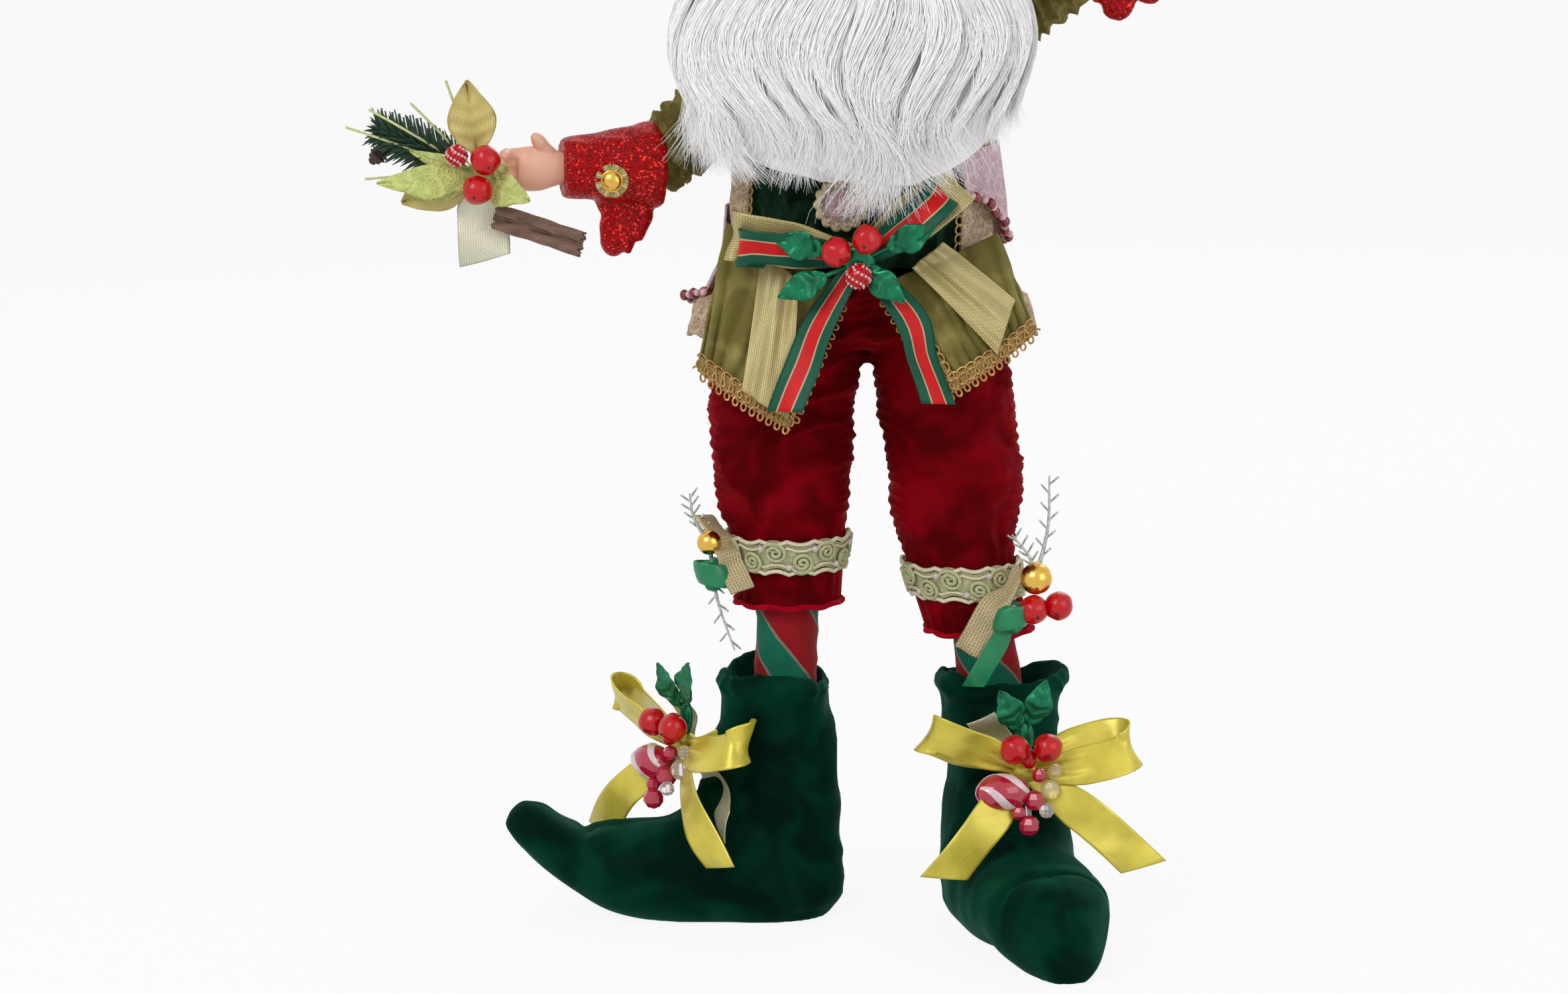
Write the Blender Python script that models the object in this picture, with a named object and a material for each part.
"""Posable cloth elf figurine, standing, in a pointed hat, velvet breeches and curled boots.

Left and right are the viewer's: left is -X. The figure faces -Y and stands on Z = 0.
All sizes are in metres. Places are measured from the body axis, and the root empty carries
that axis to where the whole figurine's footprint is centred on the origin.
"""

import math

import bmesh
import bpy
import numpy as np

SIDES = ("left", "right")
AWAY = {"left": -1.0, "right": 1.0}

# Body axis, from the centre of the whole figurine's footprint
BODY_X = 0.0322
BODY_Y = 0.0295
# Air between pieces that touch
GAP = 0.0003
# Points nearer than this are one
MERGE = 0.0000001

# Stockings
ANKLE_X = {"left": -0.0300, "right": 0.0520}
KNEE_X = {"left": -0.0280, "right": 0.0440}
STOCKING_R = 0.0118
STOCKING_FOOT_Z = 0.0660
STOCKING_TUCK = 0.0200

# Boots: each station is where the outline's back or sole is, where its front or top is, and its half width
BOOT_HEADING = {"left": math.radians(-90), "right": math.radians(9.5)}
BOOT_TOE_RAISE = {"left": 0.0, "right": -0.0090}
BOOT_TOE_START = 0.0620
BOOT_TIP = (0.1062, 0.0345)
BOOT_STATIONS = (
    ((-0.0135, 0.0860), (0.0180, 0.0860), 0.0165),
    ((-0.0152, 0.0945), (0.0222, 0.0945), 0.0215),
    ((-0.0172, 0.0905), (0.0252, 0.0905), 0.0255),
    ((-0.0172, 0.0835), (0.0236, 0.0835), 0.0220),
    ((-0.0195, 0.0660), (0.0262, 0.0660), 0.0205),
    ((-0.0215, 0.0440), (0.0310, 0.0520), 0.0215),
    ((-0.0222, 0.0220), (0.0365, 0.0435), 0.0235),
    ((-0.0205, 0.0040), (0.0415, 0.0385), 0.0245),
    ((-0.0080, -0.0040), (0.0480, 0.0365), 0.0250),
    ((0.0160, -0.0040), (0.0570, 0.0350), 0.0258),
    ((0.0420, -0.0030), (0.0670, 0.0340), 0.0255),
    ((0.0640, 0.0010), (0.0765, 0.0335), 0.0230),
    ((0.0800, 0.0095), (0.0850, 0.0370), 0.0190),
    ((0.0930, 0.0190), (0.0920, 0.0420), 0.0145),
    ((0.1010, 0.0265), (0.0985, 0.0430), 0.0095),
)
BOOT_SIDES = 20
COLLAR_LUMP = 0.0030
COLLAR_LUMPS = 5

# Trousers: each row is a height, the leg's middle and its radius
HEM_Z = {"left": 0.1210, "right": 0.1100}
HEM_R = 0.0195
LEG_ROWS = {
    "left": (
        (0.1380, -0.0274, 0.0200), (0.1500, -0.0285, 0.0225), (0.1590, -0.0300, 0.0255),
        (0.1800, -0.0303, 0.0272), (0.2010, -0.0296, 0.0280), (0.2220, -0.0265, 0.0280),
    ),
    "right": (
        (0.1300, 0.0385, 0.0203), (0.1440, 0.0360, 0.0218), (0.1560, 0.0350, 0.0245),
        (0.1720, 0.0347, 0.0260), (0.2070, 0.0300, 0.0265), (0.2240, 0.0265, 0.0270),
    ),
}
LEG_TOP = (0.2400, 0.0215, 0.0235)
LEG_DEPTH_SHARE = 0.92
LEG_SIDES = 18
LEG_RINGS = 16
FOLD_DEPTH = 0.0007
FOLD_PITCH = 0.0180
WAIST_Z = 0.2520
PELVIS_ROWS = ((0.2200, 0.0330, 0.0190), (0.2270, 0.0450, 0.0260), (0.2390, 0.0480, 0.0295))
PELVIS_TOP = (0.0460, 0.0295)

# Knee braid
BRAID_Z = {"left": 0.1415, "right": 0.1310}
BRAID_HEIGHT = 0.0125
BRAID_THICK = 0.0026
BRAID_SCALLOPS = 9
BRAID_SCALLOP = 0.0016

# Tunic: each row is a height, a half width and a half depth
TUNIC_ROWS = (
    (0.2520, 0.0460, 0.0300), (0.2750, 0.0470, 0.0305), (0.3000, 0.0465, 0.0300),
    (0.3250, 0.0475, 0.0285), (0.3400, 0.0420, 0.0250), (0.3475, 0.0290, 0.0200),
)
SHOULDER_Z = 0.3500
TUNIC_PLEATS = 24
TUNIC_PLEAT = 0.0006

# Vest: the open jacket around the tunic, which flares over the hips
VEST_TOP_Z = 0.3180
VEST_HEM_Z = 0.2240
VEST_THICK = 0.0022
VEST_FLARE = 0.0095
VEST_RIPPLE = 0.0009
VEST_RIPPLES = 10
VEST_FRONT = {"left": math.radians(61), "right": math.radians(48)}

# Beaded panels that hang at the sides of the vest
PANEL_TOP_Z = {"left": 0.2720, "right": 0.2960}
PANEL_HEM_Z = {"left": 0.2360, "right": 0.2680}
PANEL_MIDDLE = {"left": math.radians(106), "right": math.radians(80)}
PANEL_SPREAD = {"left": math.radians(24), "right": math.radians(36)}
PANEL_THICK = 0.0016
PANEL_BEAD_R = 0.0019
PANEL_BEADS = 6

# Peplum flaps: corners as X from the body axis and height
FLAP_CORNERS = {
    "left": ((-0.0060, 0.2470), (-0.0500, 0.2680), (-0.0610, 0.2150), (-0.0270, 0.1960)),
    "right": ((0.0060, 0.2470), (0.0500, 0.2640), (0.0640, 0.2290), (0.0310, 0.2080)),
}
FLAP_THICK = 0.0014
FLAP_FLARE = 0.0100
FLAP_PLEATS = 6
FLAP_PLEAT = 0.0008
FLAP_TAB = ((0.04, 0.46), (0.0, 0.13))
FLAP_TAB_DEPTH = 0.0075
MESH_THICK = 0.0008
MESH_SPAN = {"left": (0.24, 0.70), "right": (0.30, 0.78)}
TRIM_THICK = 0.0016
TRIM_WIDTH = 0.0070
TRIM_SCALLOP = 0.0009
TRIM_SCALLOPS = 9
EDGE_SCALLOPS = 7

# Striped waist bow
WAIST_BOW = (-0.0014, 0.2580)
WAIST_RIBBON = 0.0140
WAIST_LOOP_TIPS = {"left": (-0.0440, 0.2620), "right": (0.0285, 0.2830)}
WAIST_LOOP_DEPTH = 0.0070
WAIST_KNOT_R = 0.0056
RIBBON_THICK = 0.0008
LOOP_OUTLINE = ((0.0, 0.3), (0.40, 0.9), (0.80, 1.0), (1.0, 0.35))
LOOP_STEPS = 9
KNOT_DEPTH = 0.8
BOW_STEM_R = 0.0034
WAIST_STEM_Y = -0.0285

# Jewel on the tunic
JEWEL = (-0.0078, 0.2765)
JEWEL_R = 0.0098
JEWEL_STONE_R = 0.0068
JEWEL_THICK = 0.0040
JEWEL_SCALLOPS = 14

# Berries and holly
BERRY_R = 0.0055
HOLLY_LENGTH = 0.0175
HOLLY_WIDTH = 0.0100
LEAF_THICK = 0.0011
WAIST_BERRIES = ((-0.0095, 0.2622), (0.0016, 0.2668), (-0.0014, 0.2533))
WAIST_HOLLY_TIPS = ((-0.0300, 0.2640), (-0.0260, 0.2445), (0.0265, 0.2700), (0.0200, 0.2475))

# Sleeves, from the shoulder to the cuff, with the radius at each point
SLEEVES = {
    "left": ((-0.0360, 0.0000, 0.3270), (-0.0586, -0.0060, 0.3050), (-0.0784, -0.0120, 0.2885)),
    "right": ((0.0360, 0.0000, 0.3310), (0.0600, -0.0030, 0.3490), (0.0860, -0.0060, 0.3650)),
}
SLEEVE_R = (0.0150, 0.0150, 0.0132)
SLEEVE_PLEAT = 0.0007
SLEEVE_PLEATS = 11

# Glitter cuffs, from the sleeve to the wrist
CUFF_AXIS = {"left": (-0.9700, -0.2300, 0.0000), "right": (0.5400, -0.1300, 0.8300)}
CUFF_LENGTH = 0.0330
CUFF_MOUTH_R = 0.0156
CUFF_WRIST_R = 0.0106
CUFF_TAIL = 0.0330
CUFF_TAIL_WIDTH = 0.0105
CUFF_TAIL_THICK = 0.0052
BUTTON_R = 0.0036

# Hands
PALM_LENGTH = 0.0170
PALM_HALF_WIDTH = 0.0082
PALM_HALF_DEPTH = 0.0056
FINGER_R = 0.0025
FINGER_LENGTH = 0.0150

# Posy: places are X from the body axis, Y and height
STICK_START = (-0.1345, -0.0360, 0.2725)
STICK_END = (-0.1030, -0.0420, 0.2630)
STICK_R = 0.0047
POSY_HUB = (-0.1400, -0.0330, 0.2870)
POSY_HUB_R = 0.0052
PINE_END = (-0.1780, -0.0180, 0.3020)
PINE_NEEDLE = 0.0150
PINE_NEEDLE_R = 0.0008
PINE_NEEDLES = 14
PINE_BARE = 0.28
PINE_TWIG_R = 0.0014
POSY_LOOP_TIP = (-0.1490, -0.0330, 0.3180)
POSY_LOOP_DEPTH = 0.0085
POSY_RIBBON = 0.0120
POSY_TAIL_TIPS = ((-0.1640, -0.0300, 0.2765), (-0.1390, -0.0320, 0.2560))
POSY_BERRIES = ((-0.1375, 0.2945), (-0.1405, 0.2835))
POSY_LEAF_HUB = 0.0014
POSY_LEAF_WIDTH = 0.0130
POSY_LEAF_TIPS = ((-0.1215, -0.0420, 0.2790), (-0.1780, -0.0370, 0.2850))

# Head, neck and face
HEAD_Z = 0.3975
HEAD_Y = -0.0040
HEAD_RADII = (0.0330, 0.0345, 0.0395)
NECK_R = 0.0130
NOSE_R = 0.0056
EAR_LENGTH = 0.0230
EAR_WIDTH = 0.0105
EAR_THICK = 0.0050

# Beard: height, how far it reaches to each side, and its front and back
BEARD_ROWS = (
    (0.3860, 0.0230, 0.0230, -0.0430, -0.0250),
    (0.3760, 0.0390, 0.0370, -0.0540, -0.0120),
    (0.3600, 0.0580, 0.0520, -0.0610, -0.0040),
    (0.3430, 0.0660, 0.0580, -0.0650, -0.0040),
    (0.3250, 0.0640, 0.0560, -0.0660, -0.0140),
    (0.3070, 0.0530, 0.0490, -0.0630, -0.0230),
    (0.2940, 0.0350, 0.0350, -0.0570, -0.0280),
)
BEARD_TIP = (0.0020, -0.0460, 0.2830)
BEARD_LOCKS = 10
BEARD_LOCK = 0.0500

# Hair at the back: height, half width, front and back
HAIR_ROWS = (
    (0.4080, 0.0400, -0.0010, 0.0390), (0.3920, 0.0440, -0.0010, 0.0430),
    (0.3720, 0.0500, -0.0010, 0.0450), (0.3500, 0.0530, -0.0010, 0.0450),
    (0.3320, 0.0430, 0.0080, 0.0410),
)
HAIR_TIP = (0.0, 0.0320, 0.3230)
HAIR_LOCKS = 8
HAIR_LOCK = 0.0300

# Hat
BAND_Z = 0.4090
BAND_HEIGHT = 0.0150
BAND_OUT = 0.0055
HAT_ROWS = (
    (0.0000, 0.0000, 0.0000, 0.0375), (0.0000, 0.0010, 0.0180, 0.0325), (0.0010, 0.0010, 0.0380, 0.0240),
    (0.0060, 0.0000, 0.0580, 0.0160), (0.0155, -0.0010, 0.0730, 0.0100), (0.0275, -0.0020, 0.0770, 0.0060),
)
HAT_TIP = (0.0365, -0.0030, 0.0715)
BELL_R = 0.0062

# Knee trims: places are X from the body axis, Y and height
KNEE_BEAD = {"left": (-0.0575, -0.0150, 0.1465), "right": (0.0650, -0.0240, 0.1345)}
KNEE_BEAD_R = {"left": 0.0046, "right": 0.0060}
KNEE_BURLAP = {
    "left": ((-0.0600, -0.0060, 0.1550), (-0.0510, -0.0150, 0.1430), (-0.0450, -0.0200, 0.1290)),
    "right": ((0.0610, -0.0170, 0.1370), (0.0500, -0.0240, 0.1240), (0.0400, -0.0250, 0.1060)),
}
KNEE_BURLAP_WIDTH = 0.0090
KNEE_BURLAP_THICK = 0.0016
KNEE_SATIN = {"left": (-0.0562, -0.0150, 0.1345), "right": (0.0560, -0.0250, 0.1200)}
KNEE_SATIN_R = 0.0052
KNEE_SATIN_TAIL = (0.0415, -0.0270, 0.0940)
KNEE_SATIN_WIDTH = 0.0075
KNEE_TWIGS = {
    "left": ((-0.0650, -0.0080, 0.1640), (-0.0480, -0.0190, 0.1060)),
    "right": ((0.0700, -0.0150, 0.1720), (0.0560, -0.0170, 0.1500)),
}
TWIG_R = 0.0011
KNEE_BERRIES = ((0.0640, -0.0265, 0.1232), (0.0735, -0.0235, 0.1240))

# Boot trims, in the boot's own frame: X across, -Y to the toe, from the leg's axis
BOOT_BOW = (0.0, -0.0375, 0.0640)
SATIN_WIDTH = 0.0150
SATIN_LOOP_TIPS = ((-0.0370, -0.0400, 0.0800), (0.0400, -0.0400, 0.0730))
SATIN_LOOP_DEPTH = 0.0080
SATIN_TAIL_TIPS = ((-0.0330, -0.0480, 0.0360), (0.0410, -0.0480, 0.0340))
SATIN_KNOT_R = 0.0056
BOOT_BERRIES = ((-0.0065, -0.0480, 0.0745), (0.0065, -0.0480, 0.0745))
BOOT_HOLLY_TIPS = ((-0.0105, -0.0400, 0.0960), (0.0085, -0.0390, 0.0985))
BOOT_HOLLY_HUB = (0.0, -0.0370, 0.0760)
BOOT_HOLLY_HUB_RADII = (0.0040, 0.0015, 0.0072)
BOOT_HOLLY_WIDTH = 0.0120
BERRY_HUB = (0.0, -0.0445, 0.0700)
BERRY_HUB_RADII = (0.0035, 0.0040, 0.0045)
CANDY_BEAD = (-0.0102, -0.0452, 0.0578)
CANDY_RADII = (0.0105, 0.0068, 0.0068)
CRYSTALS = ((0.0015, -0.0475, 0.0545), (0.0080, -0.0455, 0.0580), (-0.0015, -0.0515, 0.0460))
CRYSTAL_R = 0.0040
BEAD_WIRE = ((0.0, -0.0395, 0.0610), (-0.0010, -0.0500, 0.0470))
BEAD_WIRE_R = 0.0026
BOOT_MESH_TIPS = ((0.0340, -0.0420, 0.0400), (-0.0160, -0.0330, 0.0840))
BOOT_MESH_WIDTH = 0.0110
BOOT_MESH_THICK = 0.0010
BOOT_STEM_Y = -0.0220

FINISHES = {
    "boot_velvet": ((0.000, 0.045, 0.022), 0.80, 0.0),
    "stocking_knit": ((0.300, 0.004, 0.006), 0.85, 0.0),
    "crimson_velvet": ((0.260, 0.001, 0.010), 0.75, 0.0),
    "gimp_cord": ((0.420, 0.440, 0.230), 0.55, 0.0),
    "tunic_velvet": ((0.010, 0.045, 0.020), 0.80, 0.0),
    "vest_lace": ((0.420, 0.300, 0.160), 0.70, 0.0),
    "panel_sheer": ((0.600, 0.420, 0.440), 0.60, 0.0),
    "peplum_cloth": ((0.300, 0.260, 0.080), 0.70, 0.0),
    "gold_mesh": ((0.550, 0.470, 0.220), 0.45, 0.4),
    "gold_braid": ((0.500, 0.300, 0.080), 0.45, 0.4),
    "striped_ribbon": ((0.010, 0.110, 0.060), 0.50, 0.0),
    "jewel_glass": ((0.800, 0.600, 0.600), 0.15, 0.0),
    "berry_red": ((0.450, 0.001, 0.004), 0.15, 0.0),
    "holly_foil": ((0.001, 0.180, 0.070), 0.30, 0.6),
    "sleeve_velvet": ((0.120, 0.090, 0.020), 0.75, 0.0),
    "red_glitter": ((0.450, 0.001, 0.004), 0.40, 0.2),
    "gold_metal": ((0.700, 0.420, 0.080), 0.25, 1.0),
    "skin_resin": ((0.700, 0.380, 0.260), 0.50, 0.0),
    "cinnamon_bark": ((0.190, 0.100, 0.070), 0.85, 0.0),
    "pine_needles": ((0.030, 0.070, 0.035), 0.70, 0.0),
    "leaf_silk": ((0.420, 0.460, 0.110), 0.60, 0.0),
    "beard_mohair": ((0.860, 0.850, 0.830), 0.85, 0.0),
    "yellow_satin": ((0.600, 0.500, 0.060), 0.30, 0.0),
    "green_satin": ((0.001, 0.200, 0.070), 0.30, 0.0),
    "burlap": ((0.480, 0.360, 0.190), 0.85, 0.0),
    "silver_twig": ((0.550, 0.560, 0.550), 0.40, 0.5),
    "candy_acrylic": ((0.500, 0.010, 0.050), 0.12, 0.0),
}

UP = np.array((0.0, 0.0, 1.0))
FRONT = np.array((0.0, -1.0, 0.0))


def clear_scene():
    for obj in list(bpy.data.objects):
        bpy.data.objects.remove(obj, do_unlink=True)


def finish(name):
    """The Principled material of that name, made once."""
    material = bpy.data.materials.get(name)
    if material is None:
        colour, roughness, metallic = FINISHES[name]
        material = bpy.data.materials.new(name)
        material.use_nodes = True
        shader = material.node_tree.nodes["Principled BSDF"]
        shader.inputs["Base Color"].default_value = (*colour, 1.0)
        shader.inputs["Roughness"].default_value = roughness
        shader.inputs["Metallic"].default_value = metallic
    return material


def empty(name, location, heading=0.0, parent=None):
    """A named frame that carries the pieces parented to it."""
    frame = bpy.data.objects.new(name, None)
    frame.location = location
    frame.rotation_euler = (0.0, 0.0, heading)
    frame.parent = parent
    bpy.context.scene.collection.objects.link(frame)
    return frame


def solid(name, points, faces, material, parent):
    """A mesh object with its faces turned outwards."""
    mesh = bpy.data.meshes.new(name)
    mesh.from_pydata([tuple(map(float, p)) for p in points], [], faces)
    shape = bmesh.new()
    shape.from_mesh(mesh)
    bmesh.ops.triangulate(shape, faces=shape.faces)
    if shape.calc_volume(signed=True) < 0:
        bmesh.ops.reverse_faces(shape, faces=shape.faces)
    shape.to_mesh(mesh)
    shape.free()
    mesh.materials.append(finish(material))
    mesh.shade_smooth()
    mesh.set_sharp_from_angle(angle=math.radians(40))
    obj = bpy.data.objects.new(name, mesh)
    obj.parent = parent
    bpy.context.scene.collection.objects.link(obj)
    return obj


def loft(name, rings, material, parent, first=None, last=None):
    """A skin over rings of one count, closed at each end by a fan on a point, or on the ring's middle."""
    rings = np.asarray(rings, dtype=float)
    sections, around = rings.shape[:2]
    first = rings[0].mean(axis=0) if first is None else first
    last = rings[-1].mean(axis=0) if last is None else last
    points = np.vstack([rings.reshape(-1, 3), [first], [last]])
    here = np.arange(around)
    there = (here + 1) % around
    faces = []
    for section in range(sections - 1):
        low, high = section * around, (section + 1) * around
        faces += [(low + a, low + b, high + b, high + a) for a, b in zip(here, there)]
    start, end = sections * around, sections * around + 1
    top = (sections - 1) * around
    faces += [(start, b, a) for a, b in zip(here, there)]
    faces += [(end, top + a, top + b) for a, b in zip(here, there)]
    return solid(name, points, faces, material, parent)


def hoop(name, rings, material, parent):
    """A closed tube: the last ring joins the first."""
    rings = np.asarray(rings, dtype=float)
    sections, around = rings.shape[:2]
    here = np.arange(around)
    there = (here + 1) % around
    faces = []
    for section in range(sections):
        low, high = section * around, ((section + 1) % sections) * around
        faces += [(low + a, low + b, high + b, high + a) for a, b in zip(here, there)]
    return solid(name, rings.reshape(-1, 3), faces, material, parent)


def slab(name, backs, fronts, material, parent):
    """A thin curved sheet between a grid of back points and a grid of front points."""
    backs, fronts = np.asarray(backs, dtype=float), np.asarray(fronts, dtype=float)
    steps, rows = backs.shape[:2]
    ring = np.concatenate([backs, fronts[:, ::-1]], axis=1)
    around = 2 * rows
    faces = []
    for step in range(steps - 1):
        low, high = step * around, (step + 1) * around
        faces += [(low + a, low + (a + 1) % around, high + (a + 1) % around, high + a) for a in range(around)]
    for start, turned in ((0, True), ((steps - 1) * around, False)):
        for a in range(rows - 1):
            face = (start + a, start + a + 1, start + around - 2 - a, start + around - 1 - a)
            faces.append(face[::-1] if turned else face)
    return solid(name, ring.reshape(-1, 3), faces, material, parent)


def turn(around):
    return np.linspace(0.0, 2.0 * np.pi, around, endpoint=False)


def outline(centre, half_a, half_b, axis_a, axis_b, around, power=2.0, swell=None):
    """A superellipse: half_a along axis_a, half_b along axis_b, times an optional swell by angle."""
    angle = turn(around)
    across, along = np.cos(angle), np.sin(angle)
    a = np.sign(across) * np.abs(across) ** (2.0 / power) * half_a
    b = np.sign(along) * np.abs(along) ** (2.0 / power) * half_b
    if swell is not None:
        a, b = a * swell, b * swell
    return np.asarray(centre) + np.outer(a, axis_a) + np.outer(b, axis_b)


def level_ring(x, y, z, half_x, half_y, around, swell=None):
    return outline((x, y, z), half_x, half_y, (1, 0, 0), (0, 1, 0), around, swell=swell)


def unit(vector):
    vector = np.asarray(vector, dtype=float)
    return vector / np.linalg.norm(vector)


def smooth(points, count):
    """Catmull-Rom curve through the points, read at even steps of its parameter."""
    points = np.asarray(points, dtype=float)
    ends = np.vstack([2 * points[0] - points[1], points, 2 * points[-1] - points[-2]])
    places = np.linspace(0.0, len(points) - 1, count)
    spans = np.minimum(places.astype(int), len(points) - 2)
    t = (places - spans)[:, None]
    p0, p1, p2, p3 = (ends[spans + shift] for shift in range(4))
    bend = 2 * p0 - 5 * p1 + 4 * p2 - p3
    return 0.5 * (2 * p1 + (p2 - p0) * t + bend * t**2 + (3 * p1 - p0 - 3 * p2 + p3) * t**3)


def frames(path, side):
    """Two unit axes across the path at each point: one near side, one square to it."""
    tangents = np.gradient(path, axis=0)
    tangents /= np.linalg.norm(tangents, axis=1)[:, None]
    sides = np.broadcast_to(np.asarray(side, dtype=float), path.shape)
    across = sides - (sides * tangents).sum(axis=1)[:, None] * tangents
    across /= np.linalg.norm(across, axis=1)[:, None]
    return across, np.cross(tangents, across)


def sweep(name, path, half_a, half_b, side, around, material, parent, power=2.0, swell=None):
    """A body along a path: half_a near side, half_b square to it, each one number or one for each point."""
    path = np.asarray(path, dtype=float)
    half_a, half_b = np.broadcast_to(half_a, len(path)), np.broadcast_to(half_b, len(path))
    across, square = frames(path, side)
    rings = [
        outline(point, a, b, x, y, around, power, swell)
        for point, a, b, x, y in zip(path, half_a, half_b, across, square)
    ]
    return loft(name, rings, material, parent)


def strip(name, path, width, thick, side, material, parent):
    """A ribbon along a path, with its width near side."""
    path = np.asarray(path, dtype=float)
    widths = np.broadcast_to(width, len(path))[:, None] / 2
    across, square = frames(path, side)
    wide, deep = across * widths, square * thick / 2
    rings = np.stack([path + wide + deep, path - wide + deep, path - wide - deep, path + wide - deep], axis=1)
    return loft(name, rings, material, parent)


def ball(name, centre, radii, material, parent, around=10, rows=5):
    """An ellipsoid with its poles above and below."""
    radii = np.broadcast_to(radii, 3)
    rise = np.linspace(-np.pi / 2, np.pi / 2, rows + 2)[1:-1]
    x, y, z = centre
    rings = [
        level_ring(x, y, z + radii[2] * math.sin(a), radii[0] * math.cos(a), radii[1] * math.cos(a), around)
        for a in rise
    ]
    return loft(name, rings, material, parent, (x, y, z - radii[2]), (x, y, z + radii[2]))


def leaf(name, base, tip, width, thick, facing, material, parent, points=0):
    """A leaf from base to tip whose face looks along facing, with that many spines on each edge."""
    share = np.linspace(0.03, 0.97, 3 * points + 2 if points else 6)
    path = np.asarray(base) + np.outer(share, np.asarray(tip) - np.asarray(base))
    path += np.outer(0.06 * np.sin(np.pi * share) * np.linalg.norm(np.subtract(tip, base)), facing)
    spines = 1.0 + 0.22 * np.cos(2 * np.pi * points * share) if points else 1.0
    half = 0.5 * width * np.sin(np.pi * share) ** 0.7 * spines
    side = np.cross(unit(np.subtract(tip, base)), facing)
    return sweep(name, path, half, thick / 2, side, 4, material, parent)


def apply_modifiers(obj):
    """The object's mesh as its modifiers leave it, in their place."""
    bpy.context.view_layer.update()
    graph = bpy.context.evaluated_depsgraph_get()
    shaped = bpy.data.meshes.new_from_object(obj.evaluated_get(graph))
    obj.modifiers.clear()
    obj.data = shaped
    shaped.name = obj.name


def keep_largest(obj):
    """Drops the crumbs that a cut leaves beside the main body, and the points that it doubles."""
    shape = bmesh.new()
    shape.from_mesh(obj.data)
    bmesh.ops.remove_doubles(shape, verts=shape.verts, dist=MERGE)
    bmesh.ops.triangulate(shape, faces=shape.faces)
    unseen, bodies = set(shape.verts), []
    while unseen:
        body, edge = set(), [next(iter(unseen))]
        while edge:
            vertex = edge.pop()
            if vertex in body:
                continue
            body.add(vertex)
            edge += [e.other_vert(vertex) for e in vertex.link_edges]
        unseen -= body
        bodies.append(body)
    bodies.sort(key=len, reverse=True)
    crumbs = [vertex for body in bodies[1:] for vertex in body]
    if crumbs:
        bmesh.ops.delete(shape, geom=crumbs, context="VERTS")
    shape.to_mesh(obj.data)
    shape.free()


def combine(obj, others, operation, crossing=False):
    """Joins the others to the object or cuts them from it, and removes them.

    Crossing says that a mesh may cross itself."""
    for other in others:
        other.hide_render = True
        other.display_type = "WIRE"
        modifier = obj.modifiers.new(operation.title(), "BOOLEAN")
        modifier.operation = operation
        modifier.solver = "EXACT"
        modifier.use_self = crossing
        modifier.object = other
    apply_modifiers(obj)
    keep_largest(obj)
    for other in others:
        bpy.data.objects.remove(other, do_unlink=True)
    return obj


def fused(name, parts):
    """The parts as one body."""
    parts[0].name = name
    return combine(parts[0], parts[1:], "UNION")


def grown(obj, by):
    """A copy whose faces stand out by that much."""
    copy = obj.copy()
    copy.data = obj.data.copy()
    copy.name = obj.name + "_clearance"
    bpy.context.scene.collection.objects.link(copy)
    shape = bmesh.new()
    shape.from_mesh(copy.data)
    shape.normal_update()
    moves = [v.normal * by * min(v.calc_shell_factor(), 2.0) for v in shape.verts]
    for vertex, move in zip(shape.verts, moves):
        vertex.co += move
    shape.to_mesh(copy.data)
    shape.free()
    return copy


def seated(obj, *carriers, crossing=False):
    """The object, cut back to a gap from the pieces that it lies against."""
    return combine(obj, [grown(carrier, 1.4 * GAP) for carrier in carriers], "DIFFERENCE", crossing)


def interpolated(rows, places):
    """Rows read at other values of their first column, along a smooth curve."""
    rows = np.asarray(rows, dtype=float)
    fine = smooth(rows, 12 * len(rows))
    return np.stack([np.interp(places, fine[:, 0], fine[:, k]) for k in range(1, rows.shape[1])], axis=1)


def build_stocking(side, root):
    low, high = STOCKING_FOOT_Z, HEM_Z[side] + STOCKING_TUCK
    path = np.linspace((ANKLE_X[side], 0.0, low), (KNEE_X[side], 0.0, high), 4)
    return sweep(f"stocking_{side}", path, STOCKING_R, STOCKING_R, (1, 0, 0), 20, "stocking_knit", root)


def build_boot(side, ankle, stocking):
    """Sections from the pit inside the collar, over its rolled edge, down the shaft and along the foot."""
    angle = turn(BOOT_SIDES)
    rings = []
    for row, (back, front, half) in enumerate(BOOT_STATIONS):
        low, high = (np.array((0.0, -u, z)) for u, z in (back, front))
        rings.append(
            outline((low + high) / 2, np.linalg.norm(high - low) / 2, half, unit(high - low), (1, 0, 0),
                    BOOT_SIDES, 2.3)
        )
        if row in (1, 2):
            rings[-1][:, 2] += COLLAR_LUMP * np.cos(COLLAR_LUMPS * angle) * (1.0 if row == 1 else 0.5)
    rings = np.array(rings)
    tip = np.array((0.0, -BOOT_TIP[0], BOOT_TIP[1]))

    def raised(points):
        along = np.clip((-points[..., 1] - BOOT_TOE_START) / (BOOT_TIP[0] - BOOT_TOE_START), 0.0, None)
        points[..., 2] += BOOT_TOE_RAISE[side] * along**1.5
        return points

    rings, tip = raised(rings), raised(tip[None])[0]
    rings[..., 2] = np.maximum(rings[..., 2], 0.0)
    pit = rings[0].mean(axis=0)
    boot = loft(f"boot_{side}", rings, "boot_velvet", ankle, pit, tip)
    return seated(boot, stocking)


def leg_rows(side):
    rows = [(HEM_Z[side], KNEE_X[side], HEM_R), *LEG_ROWS[side]]
    return rows + [(LEG_TOP[0], AWAY[side] * LEG_TOP[1], LEG_TOP[2])]


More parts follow.
